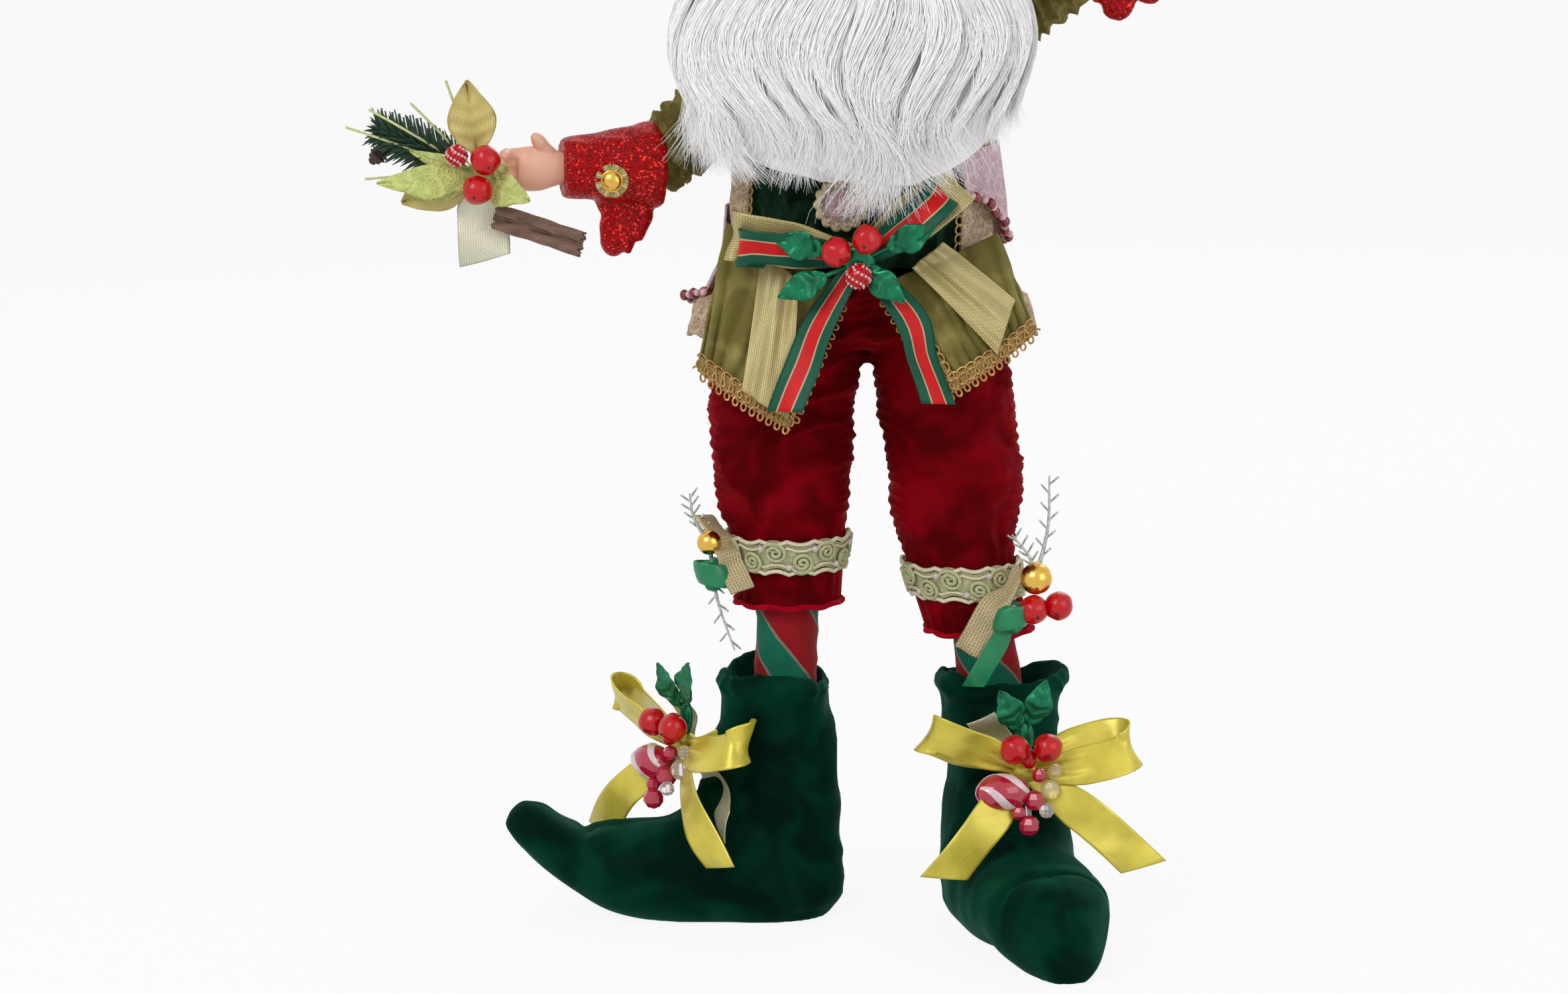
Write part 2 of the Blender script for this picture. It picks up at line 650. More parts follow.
def build_leg(side, root):
    """One trouser leg with slanting cross folds, gathered at its side seams."""
    angle = turn(LEG_SIDES)
    places = np.linspace(HEM_Z[side], LEG_TOP[0], LEG_RINGS)
    rings = []
    for z, (x, radius) in zip(places, interpolated(leg_rows(side), places)):
        slant = 0.9 * np.sin(angle + AWAY[side])
        fold = FOLD_DEPTH * np.sin(2 * np.pi * z / FOLD_PITCH + 2.2 * slant)
        fold *= np.clip((z - BRAID_Z[side] - BRAID_HEIGHT) / FOLD_PITCH, 0.0, 1.0)
        swell = 1.0 + fold / radius
        rings.append(level_ring(x, 0.0, z, radius, radius * LEG_DEPTH_SHARE, LEG_SIDES, swell))
    return loft(f"leg_{side}", rings, "crimson_velvet", root)


def build_trousers(root, stockings):
    rows = [*PELVIS_ROWS, (WAIST_Z - GAP, *PELVIS_TOP)]
    pelvis = loft("pelvis", [level_ring(0, 0, z, a, b, 24) for z, a, b in rows], "crimson_velvet", root)
    body = fused("trousers", [pelvis, *(build_leg(side, root) for side in SIDES)])
    return seated(body, *stockings)


def build_knee_braid(side, root):
    """A scalloped braid around the leg, over the hem's gathers."""
    around = 5 * BRAID_SCALLOPS
    angle = turn(around)
    ends = [BRAID_Z[side] - BRAID_HEIGHT / 2, BRAID_Z[side] + BRAID_HEIGHT / 2]
    (low_x, low_r), (high_x, high_r) = interpolated(leg_rows(side), ends)
    wave = BRAID_SCALLOP * np.cos(BRAID_SCALLOPS * angle)
    seat = 3 * GAP
    rings = []
    for a, lift in zip(angle, wave):
        outward = np.array((math.cos(a), LEG_DEPTH_SHARE * math.sin(a), 0.0))
        low, high = (np.array((x, 0.0, z + lift)) for x, z in zip((low_x, high_x), ends))
        rings.append([
            low + (low_r + seat) * outward, low + (low_r + seat + BRAID_THICK) * outward,
            high + (high_r + seat + BRAID_THICK) * outward, high + (high_r + seat) * outward,
        ])
    return hoop(f"knee_braid_{side}", rings, "gimp_cord", root)


def build_tunic(root):
    """The pleated body under the vest, drawn in at the shoulders."""
    around = 2 * TUNIC_PLEATS
    pleat = TUNIC_PLEAT * np.cos(TUNIC_PLEATS * turn(around))
    rings = [level_ring(0, 0, z, a, b, around, 1.0 + pleat / b) for z, a, b in TUNIC_ROWS]
    return loft("tunic", rings, "tunic_velvet", root, last=(0.0, 0.0, SHOULDER_Z))


def torso_size(z):
    """Half width and half depth of the tunic, pleats and all, at a height."""
    rows = np.array(TUNIC_ROWS)
    return np.array([np.interp(z, rows[:, 0], rows[:, k]) for k in (1, 2)]) + TUNIC_PLEAT


def hip_size(z):
    """Half width and half depth that clear both the tunic and the trousers, at a height."""
    rows = np.array([*PELVIS_ROWS, (WAIST_Z, *PELVIS_TOP)])
    pelvis = np.array([np.interp(z, rows[:, 0], rows[:, k]) for k in (1, 2)])
    flare = VEST_FLARE * max(0.0, (WAIST_Z - z) / (WAIST_Z - VEST_HEM_Z)) ** 0.8
    reach = max(abs(x) + r for rows in LEG_ROWS.values() for _, x, r in rows[-2:])
    legs = np.array((reach, 0.0)) if z < PELVIS_ROWS[-1][0] else 0.0
    return np.maximum(np.maximum(torso_size(z), pelvis), legs) + flare


def wall(name, sizes, start, end, steps, thick, material, parent, hem=0.0, waves=0):
    """A curved wall over ovals stacked by height, between two angles around the body, 0 at the front."""
    angles = np.linspace(start, end, steps)
    outward = np.stack([np.sin(angles), -np.cos(angles)], axis=1)
    ripple = hem * np.cos(waves * (angles - start) / (end - start) * 2 * np.pi)
    inner, outer = [], []
    for k in range(steps):
        x, y = outward[k]
        outs = [ripple[k] * row / (len(sizes) - 1) for row in range(len(sizes))]
        inner.append([((a + out) * x, (b + out) * y, z) for out, (z, a, b) in zip(outs, sizes)])
        outs = [out + thick for out in outs]
        outer.append([((a + out) * x, (b + out) * y, z) for out, (z, a, b) in zip(outs, sizes)])
    return slab(name, inner, outer, material, parent)


def build_vest(root):
    seams = [row[0] for row in TUNIC_ROWS[::-1] if VEST_HEM_Z < row[0] < VEST_TOP_Z]
    heights = [VEST_TOP_Z, *seams, (WAIST_Z + VEST_HEM_Z) / 2, VEST_HEM_Z]
    sizes = [(z, *(hip_size(z) + 3 * GAP)) for z in heights]
    start, end = VEST_FRONT["right"], 2 * math.pi - VEST_FRONT["left"]
    return wall("vest", sizes, start, end, 29, VEST_THICK, "vest_lace", root, VEST_RIPPLE, VEST_RIPPLES)


def build_panel(side, root, carriers):
    """A sheer hanging panel with a row of beads along its hem."""
    heights = np.linspace(PANEL_TOP_Z[side], PANEL_HEM_Z[side], 3)
    lift = VEST_THICK + 4 * GAP
    sizes = [(z, *(hip_size(z) + lift + 0.08 * (heights[0] - z))) for z in heights]
    middle = AWAY[side] * PANEL_MIDDLE[side]
    start, end = middle - PANEL_SPREAD[side], middle + PANEL_SPREAD[side]
    sheet = wall(f"panel_{side}", sizes, start, end, 11, PANEL_THICK, "panel_sheer", root)
    z, a, b = sizes[-1]
    beads = [
        ball("bead", ((a + PANEL_THICK / 2) * math.sin(t), -(b + PANEL_THICK / 2) * math.cos(t), z),
             PANEL_BEAD_R, "berry_red", root, 6, 3)
        for t in np.linspace(start, end, PANEL_BEADS)
    ]
    return seated(fused(f"beaded_panel_{side}", [sheet, *beads]), *carriers)


def flap_point(side, u, v, lift, pleated=False):
    """A point of the flap: u from inner to outer edge, v from top to hem, lift out from its back.

    What lies on the flap isn't pleated, and rests on the crests of the pleats."""
    inner_top, outer_top, outer_hem, inner_hem = (np.array(corner) for corner in FLAP_CORNERS[side])
    top = inner_top + u * (outer_top - inner_top)
    hem = inner_hem + u * (outer_hem - inner_hem)
    x, z = top + v * (hem - top)
    a, b = torso_size(top[1]) + VEST_THICK + VEST_RIPPLE + 4 * GAP
    back = -b * math.sqrt(max(0.0, 1.0 - (top[0] / (a + 0.006)) ** 2))
    crest = FLAP_PLEAT * (0.4 + 0.6 * v)
    pleat = crest * math.cos(2 * math.pi * FLAP_PLEATS * u) if pleated else -crest
    y = back - FLAP_PLEAT - FLAP_FLARE * v**0.8 - 0.0040 * math.sin(math.pi * u) * v + pleat - lift
    return np.array((x, y, z))


def flap_sheet(name, side, across, down, rows, low, thick, material, root, pleated=False):
    """A sheet that follows the flap over a list of u, with a span of v for each."""
    backs, fronts = [], []
    for u, (v_start, v_end) in zip(across, down):
        heights = np.linspace(v_start, v_end, rows)
        backs.append([flap_point(side, u, v, low, pleated) for v in heights])
        fronts.append([flap_point(side, u, v, low + thick, pleated) for v in heights])
    return slab(name, backs, fronts, material, root)


def build_flap(side, root, carriers):
    """The pleated flap with the tab behind its top that is sewn to the waist."""
    across = np.linspace(0.0, 1.0, 4 * FLAP_PLEATS + 1)
    cloth = flap_sheet("cloth", side, across, [(0.0, 1.0)] * len(across), 5, 0.0, FLAP_THICK,
                       "peplum_cloth", root, True)
    across = np.linspace(*FLAP_TAB[0], 6)
    tab = flap_sheet("tab", side, across, [FLAP_TAB[1]] * len(across), 2, -FLAP_TAB_DEPTH,
                     FLAP_TAB_DEPTH + 0.4 * FLAP_THICK, "peplum_cloth", root)
    return seated(fused(f"peplum_flap_{side}", [cloth, tab]), *carriers)


def build_flap_mesh(side, root):
    """The gauze ribbon that lies on the flap between its braids."""
    across = np.linspace(*MESH_SPAN[side], 9)
    low = FLAP_THICK + 2 * GAP
    spans = [(0.10, 0.86)] * len(across)
    return flap_sheet(f"flap_mesh_{side}", side, across, spans, 5, low, MESH_THICK, "gold_mesh", root)


def build_flap_braid(side, root):
    """The scalloped gold braid along the flap's hem and up its inner edge."""
    inner_top, _, outer_hem, inner_hem = (np.array(corner) for corner in FLAP_CORNERS[side])
    height = np.linalg.norm(inner_hem - inner_top)
    length = np.linalg.norm(outer_hem - inner_hem)
    low = FLAP_THICK + 2 * GAP
    steps = 4 * TRIM_SCALLOPS + 1
    across = np.linspace(-0.25 * TRIM_WIDTH / length, 1.0, steps)
    scallop = TRIM_SCALLOP / height * np.cos(2 * np.pi * TRIM_SCALLOPS * np.linspace(0, 1, steps))
    spans = [(1.0 - 0.75 * TRIM_WIDTH / height, 1.0 + 0.25 * TRIM_WIDTH / height + s) for s in scallop]
    hem = flap_sheet("hem", side, across, spans, 2, low, TRIM_THICK, "gold_braid", root)
    rise = np.linspace(0.0, 1.0, 3 * EDGE_SCALLOPS + 1)
    rings = []
    for v, s in zip(0.16 + 0.80 * rise, np.cos(2 * np.pi * EDGE_SCALLOPS * rise)):
        edges = (-(0.25 * TRIM_WIDTH + TRIM_SCALLOP * s) / length, 0.75 * TRIM_WIDTH / length)
        lower, upper = (low + 0.0001, low + TRIM_THICK - 0.0001)
        rings.append([
            flap_point(side, edges[0], v, lower), flap_point(side, edges[1], v, lower),
            flap_point(side, edges[1], v, upper), flap_point(side, edges[0], v, upper),
        ])
    edge = loft("edge", rings, "gold_braid", root)
    return fused(f"flap_braid_{side}", [hem, edge])


def loop_path(start, tip, depth):
    """A ribbon loop: out to the tip in front of the middle line and back behind it."""
    start, tip = np.asarray(start, dtype=float), np.asarray(tip, dtype=float)
    reach, out = tip - start, FRONT * depth / 2
    front = [start + along * reach + rise * out for along, rise in LOOP_OUTLINE]
    back = [start + along * reach - rise * out for along, rise in LOOP_OUTLINE[::-1]]
    return smooth(front + back, LOOP_STEPS)


def bow_parts(centre, loops, tails, width, depth, knot_r, material, parent, stem_y=None):
    """Ribbon loops and tails, each tail a list of points, from a knot that a stem may tie back."""
    parts = [ball("knot", centre, (knot_r, KNOT_DEPTH * knot_r, knot_r), material, parent, 8, 3)]
    if stem_y is not None:
        stem = np.linspace(centre, (centre[0], stem_y, centre[2]), 4)
        parts.append(sweep("stem", stem, BOW_STEM_R, BOW_STEM_R, (1, 0, 0), 8, material, parent))
    for tip in loops:
        side = np.cross(unit(np.subtract(tip, centre)), FRONT)
        path = loop_path(centre, tip, depth)
        parts.append(strip("loop", path, width, RIBBON_THICK, side, material, parent))
    for points in tails:
        path = smooth([centre, *points], 6)
        side = np.cross(unit(path[-1] - path[0]), FRONT)
        widths = width * np.clip(np.linspace(0.45, 1.9, len(path)), 0.0, 1.0)
        parts.append(strip("tail", path, widths, RIBBON_THICK, side, material, parent))
    return parts


def waist_front():
    """How far forward the waist bow's middle is: clear of the flaps and their braids."""
    _, depth = torso_size(WAIST_Z)
    flap = VEST_THICK + VEST_RIPPLE + 4 * GAP + 2 * FLAP_PLEAT + FLAP_THICK
    return -(depth + flap + TRIM_THICK + KNOT_DEPTH * WAIST_KNOT_R + 2 * GAP)


def build_waist_bow(root, carriers):
    y = waist_front()
    centre = np.array((WAIST_BOW[0], y, WAIST_BOW[1]))
    loops = [(x, y - 0.0005, z) for x, z in WAIST_LOOP_TIPS.values()]
    low = FLAP_THICK + TRIM_THICK + 6 * GAP
    tails = [[flap_point(side, u, v, low + 0.0012) for u, v in ((0.13, 0.35), (0.19, 0.68), (0.22, 0.97))]
             for side in SIDES]
    parts = bow_parts(centre, loops, tails, WAIST_RIBBON, WAIST_LOOP_DEPTH, WAIST_KNOT_R,
                      "striped_ribbon", root, WAIST_STEM_Y)
    return seated(fused("waist_bow", parts), *carriers)


def build_jewel(root, carriers):
    """A scalloped setting with a domed stone, seated on the tunic."""
    x, z = JEWEL
    y = -torso_size(z)[1]
    swell = 1.0 + 0.05 * np.cos(JEWEL_SCALLOPS * turn(2 * JEWEL_SCALLOPS))
    rings = [
        outline((x, y - lift, z), radius, radius, (1, 0, 0), (0, 0, 1), 2 * JEWEL_SCALLOPS, swell=swell)
        for lift, radius in ((-0.0005, 0.9 * JEWEL_R), (0.0020, JEWEL_R), (JEWEL_THICK, 0.8 * JEWEL_R))
    ]
    setting = loft("setting", rings, "jewel_glass", root)
    stone = ball("stone", (x, y - JEWEL_THICK, z), (JEWEL_STONE_R, 0.5 * JEWEL_STONE_R, JEWEL_STONE_R),
                 "jewel_glass", root, 12, 5)
    return seated(fused("jewel", [setting, stone]), *carriers)


def build_waist_holly(root, bow):
    y = waist_front() - KNOT_DEPTH * WAIST_KNOT_R
    middle = np.array((WAIST_BOW[0], y - 0.0020, WAIST_BOW[1]))
    parts = [ball("hub", middle, (0.0062, 0.0018, 0.0062), "holly_foil", root, 8, 3)]
    for x, z in WAIST_HOLLY_TIPS:
        tip = np.array((x, y - 0.0042, z))
        base = tip - HOLLY_LENGTH * unit(tip - middle)
        stem = middle + 0.6 * (base - middle)
        parts.append(leaf("leaf", stem, tip, HOLLY_WIDTH, LEAF_THICK, FRONT, "holly_foil", root, 2))
        parts.append(strip("stem", [middle, base, tip - 0.4 * (tip - base)], 0.0016, LEAF_THICK, (0, -1, 0.1),
                           "holly_foil", root))
    return seated(fused("waist_holly", parts), bow)


def berry_cluster(name, centres, hub, hub_radii, parent, carriers):
    """Berries joined where their wires are bound."""
    parts = [ball("hub", hub, hub_radii, "berry_red", parent, 8, 3)]
    parts += [ball("berry", centre, BERRY_R, "berry_red", parent) for centre in centres]
    return seated(fused(name, parts), *carriers, crossing=True)


def build_waist_berries(root, carriers):
    y = waist_front() - KNOT_DEPTH * WAIST_KNOT_R - 0.0040 - GAP
    centres = [(x, y - 0.7 * BERRY_R, z) for x, z in WAIST_BERRIES]
    hub = np.mean(centres, axis=0) + (0.0, 0.5 * BERRY_R, 0.0)
    return berry_cluster("waist_berries", centres, hub, (0.0050, 0.0022, 0.0050), root, carriers)


def build_sleeve(side, root, carriers):
    """A crinkled sleeve from inside the shoulder to the cuff."""
    path = smooth(SLEEVES[side], 7)
    radii = np.interp(np.linspace(0, 2, 7), (0, 1, 2), SLEEVE_R)
    swell = 1.0 + SLEEVE_PLEAT / SLEEVE_R[0] * np.cos(SLEEVE_PLEATS * turn(2 * SLEEVE_PLEATS))
    sleeve = sweep(f"sleeve_{side}", path, radii, radii, (0, 1, 0), 2 * SLEEVE_PLEATS, "sleeve_velvet", root,
                   swell=swell)
    return seated(sleeve, *carriers)


def cuff_frame(side):
    """Where the cuff starts, its axis, and the direction that its tail hangs in."""
    end = np.array(SLEEVES[side][-1])
    axis = unit(CUFF_AXIS[side])
    down = -UP + np.dot(UP, axis) * axis
    return end + GAP * axis, axis, unit(down)


def build_cuff(side, root, sleeve):
    """A flared gauntlet with a curled tail."""
    start, axis, down = cuff_frame(side)
    shares = np.array((-0.10, 0.06, 0.30, 0.62, 1.0))
    path = start + np.outer(shares * CUFF_LENGTH, axis)
    radii = np.interp(shares, (-0.10, 0.06, 1.0), (0.97 * CUFF_MOUTH_R, CUFF_MOUTH_R, CUFF_WRIST_R))
    body = sweep("gauntlet", path, radii, radii, (0, 1, 0), 20, "red_glitter", root)
    parts = [body]
    for lean in ((0.10,) if side == "left" else (-0.25, 0.75)):
        root_point = start + (0.36 + 0.2 * lean) * CUFF_LENGTH * axis + 0.3 * CUFF_MOUTH_R * down
        tip = root_point + CUFF_TAIL * unit(-UP + 0.35 * lean * np.array((1.0, 0, 0)))
        bend = 0.5 * (root_point + tip) - 0.0030 * axis
        path = smooth([root_point, bend, tip], 7)
        taper = np.array((1.0, 1.0, 0.95, 0.80, 0.58, 0.36, 0.16))
        parts.append(sweep("tail", path, CUFF_TAIL_WIDTH * taper, CUFF_TAIL_THICK * taper, (1, 0, 0.0), 10,
                           "red_glitter", root))
    return seated(fused(f"cuff_{side}", parts), sleeve)


def build_button(side, root, cuff):
    start, axis, _ = cuff_frame(side)
    place = start + 0.42 * CUFF_LENGTH * axis + 0.35 * CUFF_WRIST_R * -UP
    place[1] -= 0.93 * CUFF_MOUTH_R
    button = ball(f"button_{side}", place, (BUTTON_R, 0.6 * BUTTON_R, BUTTON_R), "gold_metal", root)
    return seated(button, cuff)


def build_hand(side, root, carriers):
    """A palm with four fingers and a thumb. The left hand closes around the stick."""
    start, axis, _ = cuff_frame(side)
    wrist = start + (CUFF_LENGTH + GAP) * axis
    facing = np.array((0.0, -1.0, 0.0))
    across = unit(np.cross(axis, facing))
    palm_path = wrist + np.outer((-0.004, 0.002, 0.008, 0.014, PALM_LENGTH), axis)
    widths = PALM_HALF_WIDTH * np.array((0.67, 0.79, 1.0, 1.0, 0.83))
    depths = PALM_HALF_DEPTH * np.array((0.89, 0.89, 1.0, 1.0, 0.75))
    parts = [sweep("palm", palm_path, widths, depths, across, 12, "skin_resin", root)]
    curl = 1.0 if side == "left" else 0.12
    for place in (-0.0054, -0.0018, 0.0018, 0.0054):
        knuckle = wrist + (PALM_LENGTH - 0.003) * axis + place * across
        mid = knuckle + 0.55 * FINGER_LENGTH * unit(axis + 0.25 * curl * facing)
        tip = mid + 0.55 * FINGER_LENGTH * unit((1.0 - 0.9 * curl) * axis + curl * facing)
        radii = FINGER_R * np.array((1.0, 1.0, 0.96, 0.6))
        path = smooth([knuckle, mid, tip], 4)
        parts.append(sweep("finger", path, radii, radii, across, 6, "skin_resin", root))
    base = wrist + 0.004 * axis + 0.0040 * across
    tip = base + 0.0120 * unit(0.6 * axis + 0.9 * across + 0.5 * facing)
    radii = FINGER_R * np.array((1.15, 1.15, 1.0, 0.65))
    parts.append(sweep("thumb", np.linspace(base, tip, 4), radii, radii, facing, 6, "skin_resin", root))
    return seated(fused(f"hand_{side}", parts), *carriers)


def build_stick(root, carriers):
    """The cinnamon stick: two quills rolled side by side."""
    path = np.linspace(STICK_START, STICK_END, 5)
    swell = 1.0 + 0.10 * np.cos(2 * turn(16)) ** 3
    stick = sweep("cinnamon_stick", path, STICK_R, STICK_R, UP, 16, "cinnamon_bark", root, swell=swell)
    return seated(stick, *carriers)


def build_pine(root):
    """A sprig: a twig from behind the ribbon's knot with needles in a spiral."""
    end = np.array(PINE_END)
    start = np.array(POSY_HUB) + (-PINE_TWIG_R, KNOT_DEPTH * POSY_HUB_R + PINE_TWIG_R - GAP, 0.0)
    axis = unit(end - start)
    side = unit(np.cross(axis, UP))
    lift = np.cross(side, axis)
    twig = sweep("twig", np.linspace(start, end, 4), PINE_TWIG_R, PINE_TWIG_R, UP, 6, "pine_needles", root)
    parts = [twig]
    for k in range(PINE_NEEDLES):
        share = PINE_BARE + (1.0 - PINE_BARE) * k / (PINE_NEEDLES - 1)
        angle = 2.4 * k
        base = start + share * (end - start)
        out = math.cos(angle) * side + math.sin(angle) * lift
        tip = base + PINE_NEEDLE * unit(0.9 * axis + 0.8 * out)
        radii = PINE_NEEDLE_R * np.array((1.0, 0.9, 0.4))
        parts.append(sweep("needle", np.linspace(base, tip, 3), radii, radii, side, 3, "pine_needles", root))
    return fused("pine_sprig", parts)


def build_posy_ribbon(root, carriers):
    hub = np.array(POSY_HUB)
    tails = [[0.5 * (hub + tip) + (0, -0.002, 0), tip] for tip in map(np.array, POSY_TAIL_TIPS)]
    parts = bow_parts(hub, [POSY_LOOP_TIP], tails, POSY_RIBBON, POSY_LOOP_DEPTH, POSY_HUB_R,
                      "gold_mesh", root)
    return seated(fused("posy_ribbon", parts), *carriers)


def leaf_hub():
    """The middle of the wired disc in front of the ribbon's knot that holds the leaves."""
    return np.array(POSY_HUB) + (0.0, -KNOT_DEPTH * POSY_HUB_R - POSY_LEAF_HUB - GAP, 0.0)


def build_posy_leaves(root, carriers):
    hub = leaf_hub()
    parts = [ball("hub", hub, (POSY_HUB_R, POSY_LEAF_HUB, POSY_HUB_R), "leaf_silk", root, 8, 3)]
    for tip in POSY_LEAF_TIPS:
        parts.append(leaf("leaf", hub, tip, POSY_LEAF_WIDTH, LEAF_THICK, FRONT, "leaf_silk", root))
    return seated(fused("posy_leaves", parts), *carriers)


def build_head(root):
    """Skull, neck, nose and two pointed ears."""
    centre = np.array((0.0, HEAD_Y, HEAD_Z))
    skull = ball("skull", centre, HEAD_RADII, "skin_resin", root, 20, 9)
    neck_path = np.linspace((0.0, 0.0, SHOULDER_Z + GAP), (0.0, HEAD_Y, HEAD_Z - 0.6 * HEAD_RADII[2]), 4)
    neck_rings = [level_ring(*point, NECK_R, NECK_R, 14) for point in neck_path]
    neck = loft("neck", neck_rings, "skin_resin", root)
    nose_y = HEAD_Y - HEAD_RADII[1] - 0.15 * NOSE_R
    nose = ball("nose", (0.0, nose_y, HEAD_Z - 0.08 * HEAD_RADII[2]), (NOSE_R, 1.1 * NOSE_R, NOSE_R),
                "skin_resin", root)
    parts = [skull, neck, nose]
    for side in SIDES:
        away = AWAY[side]
        base = centre + (away * 0.88 * HEAD_RADII[0], 0.004, -0.004)
        tip = base + EAR_LENGTH * unit((away * 0.85, 0.25, 0.55))
        parts.append(leaf("ear", base - 0.15 * (tip - base), tip, EAR_WIDTH, EAR_THICK,
                          (away * 0.3, -1.0, 0.0), "skin_resin", root))
    return fused("head", parts)


def build_beard(root, carriers):
    """The long beard, broad over the chest, in soft locks down to a blunt point."""
    around = 3 * BEARD_LOCKS
    lock = 1.0 + BEARD_LOCK * np.cos(BEARD_LOCKS * turn(around))
    rings = []
    for z, left, right, front, back in BEARD_ROWS:
        rings.append(level_ring((right - left) / 2, (front + back) / 2, z, (left + right) / 2,
                                (back - front) / 2, around, lock))
    beard = loft("beard", rings, "beard_mohair", root, last=BEARD_TIP)
    return seated(beard, *carriers)


def build_hair(root, carriers):
    around = 3 * HAIR_LOCKS
    lock = 1.0 + HAIR_LOCK * np.cos(HAIR_LOCKS * turn(around))
    rings = [level_ring(0, (front + back) / 2, z, half, (back - front) / 2, around, lock)
             for z, half, front, back in HAIR_ROWS]
    return seated(loft("hair", rings, "beard_mohair", root, last=HAIR_TIP), *carriers)


def band_size():
    """Half width and half depth of the head where the hat's band sits."""
    rise = (BAND_Z - HEAD_Z) / HEAD_RADII[2]
    share = math.sqrt(1.0 - rise**2)
    return HEAD_RADII[0] * share, HEAD_RADII[1] * share


def build_hat_band(root, head):
    a, b = band_size()
    rings = []
    for t in turn(20):
        out = np.array((math.cos(t), math.sin(t), 0.0))
        rim = [
            np.array(((a + d) * out[0], HEAD_Y + (b + d) * out[1], z))
            for d, z in ((-0.0020, BAND_Z), (BAND_OUT, BAND_Z), (1.25 * BAND_OUT, BAND_Z + BAND_HEIGHT / 2),
                         (BAND_OUT, BAND_Z + BAND_HEIGHT), (-0.0060, BAND_Z + BAND_HEIGHT))
        ]
        rings.append(rim)
    return seated(hoop("hat_band", rings, "red_glitter", root), head)


def build_hat(root, head):
    """A pointed hat that bends over to the right at its tip."""
    base = np.array((0.0, HEAD_Y, BAND_Z + BAND_HEIGHT + GAP))
    path = np.array([base + row[:3] for row in HAT_ROWS])
    radii = np.array([row[3] for row in HAT_ROWS])
    path_fine, radii_fine = smooth(path, 9), smooth(radii[:, None], 9)[:, 0]
    across, square = frames(path_fine, (0, 1, 0))
    rings = [outline(p, r, r, x, y, 20) for p, r, x, y in zip(path_fine, radii_fine, across, square)]
    rings[0][:, 2] = base[2]
    hat = loft("hat", rings, "crimson_velvet", root, last=base + HAT_TIP)
    return seated(hat, head)


def build_bell(root, hat):
    base = np.array((0.0, HEAD_Y, BAND_Z + BAND_HEIGHT + GAP))
    centre = base + HAT_TIP + (0.55 * BELL_R, 0.0, -0.75 * BELL_R)
    return seated(ball("hat_bell", centre, BELL_R, "gold_metal", root), hat)


def build_knee_trim(side, root, carriers):
    """Burlap ribbon, silver twigs, a gold bead and green satin at the outer side of the knee."""
    burlap = strip(f"knee_burlap_{side}", smooth(KNEE_BURLAP[side], 7), KNEE_BURLAP_WIDTH,
                   KNEE_BURLAP_THICK, (AWAY[side], 0, 0.8), "burlap", root)
    seated(burlap, *carriers)
    bead = ball(f"knee_bead_{side}", KNEE_BEAD[side], KNEE_BEAD_R[side], "gold_metal", root)
    seated(bead, burlap, *carriers)
    middle = np.array(KNEE_BEAD[side]) + (0.0, KNEE_BEAD_R[side], -0.0010)
    parts = [
        sweep("twig", smooth([middle, 0.5 * (middle + tip) + (0.002 * AWAY[side], 0, 0), tip], 5),
              TWIG_R * np.array((1.0, 1.0, 0.9, 0.7, 0.4)), TWIG_R, (0, 1, 0), 6, "silver_twig", root)
        for tip in map(np.array, KNEE_TWIGS[side])
    ]
    twigs = seated(fused(f"knee_twigs_{side}", parts), burlap, bead, *carriers)
    radii = KNEE_SATIN_R * np.array((1.0, 1.0, 1.1))
    parts = [ball("roll", KNEE_SATIN[side], radii, "green_satin", root)]
    if side == "right":
        start = np.array(KNEE_SATIN[side])
        middle = 0.5 * (start + KNEE_SATIN_TAIL) + (0, -0.002, 0)
        path = smooth([start, middle, KNEE_SATIN_TAIL], 6)
        parts.append(strip("tail", path, KNEE_SATIN_WIDTH, RIBBON_THICK, (1, 0, 0.3), "green_satin", root))
    satin = seated(fused(f"knee_satin_{side}", parts), burlap, bead, twigs, *carriers, crossing=True)
    if side == "right":
        hub = np.mean(KNEE_BERRIES, axis=0)
        berry_cluster("knee_berries", KNEE_BERRIES, hub, (0.0030, 0.0025, 0.0025), root,
                      [bead, satin, burlap, twigs, *carriers])


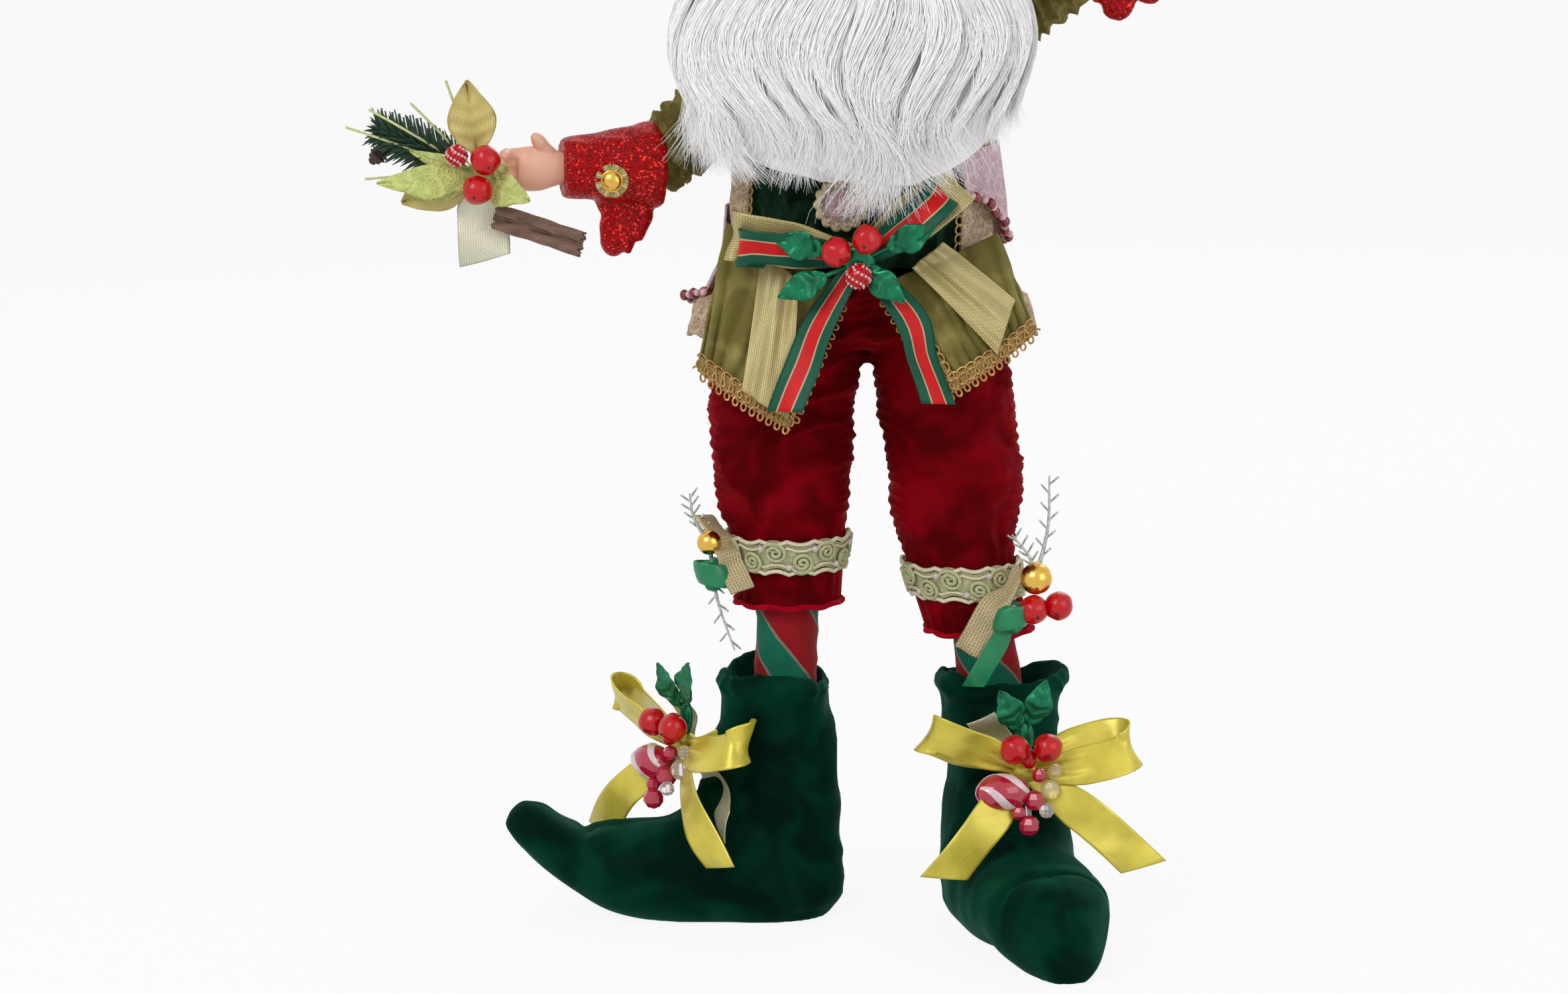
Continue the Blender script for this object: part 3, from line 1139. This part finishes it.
def build_boot_trim(side, ankle, boot):
    """The satin bow on the instep, with its mesh ribbon, holly, berries, candy bead and crystals."""
    centre = np.array(BOOT_BOW)
    tails = [[0.45 * centre + 0.55 * np.array(tip) + (0, -0.007, 0.002), tip] for tip in SATIN_TAIL_TIPS]
    parts = bow_parts(centre, SATIN_LOOP_TIPS, tails, SATIN_WIDTH, SATIN_LOOP_DEPTH, SATIN_KNOT_R,
                      "yellow_satin", ankle, BOOT_STEM_Y)
    bow = fused(f"boot_bow_{side}", parts)
    seated(bow, boot)
    start = centre + (0.0, 0.0035, 0.0)
    parts = [
        strip("mesh", smooth([start, 0.5 * (start + tip) + (0, 0.002, 0), tip], 6), BOOT_MESH_WIDTH,
              BOOT_MESH_THICK, np.cross(unit(np.subtract(tip, start)), FRONT), "gold_mesh", ankle)
        for tip in map(np.array, BOOT_MESH_TIPS)
    ]
    mesh = seated(fused(f"boot_mesh_{side}", parts), bow, boot)
    parts = [ball("hub", BOOT_HOLLY_HUB, BOOT_HOLLY_HUB_RADII, "holly_foil", ankle, 10, 4)]
    for tip in BOOT_HOLLY_TIPS:
        base = np.array(tip) - HOLLY_LENGTH * unit(np.subtract(tip, BOOT_HOLLY_HUB))
        parts.append(leaf("leaf", base, tip, BOOT_HOLLY_WIDTH, LEAF_THICK, FRONT, "holly_foil", ankle, 2))
    holly = seated(fused(f"boot_holly_{side}", parts), bow, mesh, boot)
    berry_cluster(f"boot_berries_{side}", BOOT_BERRIES, BERRY_HUB, BERRY_HUB_RADII, ankle,
                  [bow, mesh, holly, boot])
    parts = [ball("candy", CANDY_BEAD, CANDY_RADII, "candy_acrylic", ankle, 12, 5)]
    parts.append(sweep("wire", np.linspace(*BEAD_WIRE, 4), BEAD_WIRE_R, BEAD_WIRE_R, (1, 0, 0), 8,
                       "candy_acrylic", ankle))
    parts += [ball("crystal", place, CRYSTAL_R, "candy_acrylic", ankle, 8, 4) for place in CRYSTALS]
    seated(fused(f"boot_beads_{side}", parts), bow, crossing=True)


def main():
    clear_scene()
    root = empty("body_axis", (BODY_X, BODY_Y, 0.0))
    stockings = {side: build_stocking(side, root) for side in SIDES}
    trousers = build_trousers(root, stockings.values())
    tunic = build_tunic(root)
    vest = build_vest(root)
    for side in SIDES:
        ankle = empty(f"ankle_{side}", (ANKLE_X[side], 0.0, 0.0), BOOT_HEADING[side], root)
        boot = build_boot(side, ankle, stockings[side])
        build_boot_trim(side, ankle, boot)
        braid = build_knee_braid(side, root)
        build_knee_trim(side, root, [braid, trousers])
        build_panel(side, root, [vest, trousers])
        build_flap(side, root, [vest, tunic, trousers])
        build_flap_mesh(side, root)
        build_flap_braid(side, root)
    bow = build_waist_bow(root, [tunic])
    jewel = build_jewel(root, [tunic])
    holly = build_waist_holly(root, bow)
    build_waist_berries(root, [bow, holly])
    sleeves, hands, cuffs = {}, {}, {}
    for side in SIDES:
        sleeves[side] = build_sleeve(side, root, [tunic, vest])
        cuffs[side] = build_cuff(side, root, sleeves[side])
        build_button(side, root, cuffs[side])
    stick = build_stick(root, [cuffs["left"]])
    hands["left"] = build_hand("left", root, [cuffs["left"], stick])
    hands["right"] = build_hand("right", root, [cuffs["right"]])
    ribbon = build_posy_ribbon(root, [stick, hands["left"]])
    build_pine(root)
    leaves = build_posy_leaves(root, [ribbon, hands["left"], stick])
    y = leaf_hub()[1] - POSY_LEAF_HUB - GAP - BERRY_R
    centres = [(x, y, z) for x, z in POSY_BERRIES]
    berry_cluster("posy_berries", centres, np.mean(centres, axis=0), (0.0030, 0.0030, 0.0040), root,
                  [leaves, hands["left"], stick])
    head = build_head(root)
    build_hat_band(root, head)
    hat = build_hat(root, head)
    build_bell(root, hat)
    build_beard(root, [head, tunic, vest, jewel, *sleeves.values()])
    build_hair(root, [head, tunic, *sleeves.values()])


main()
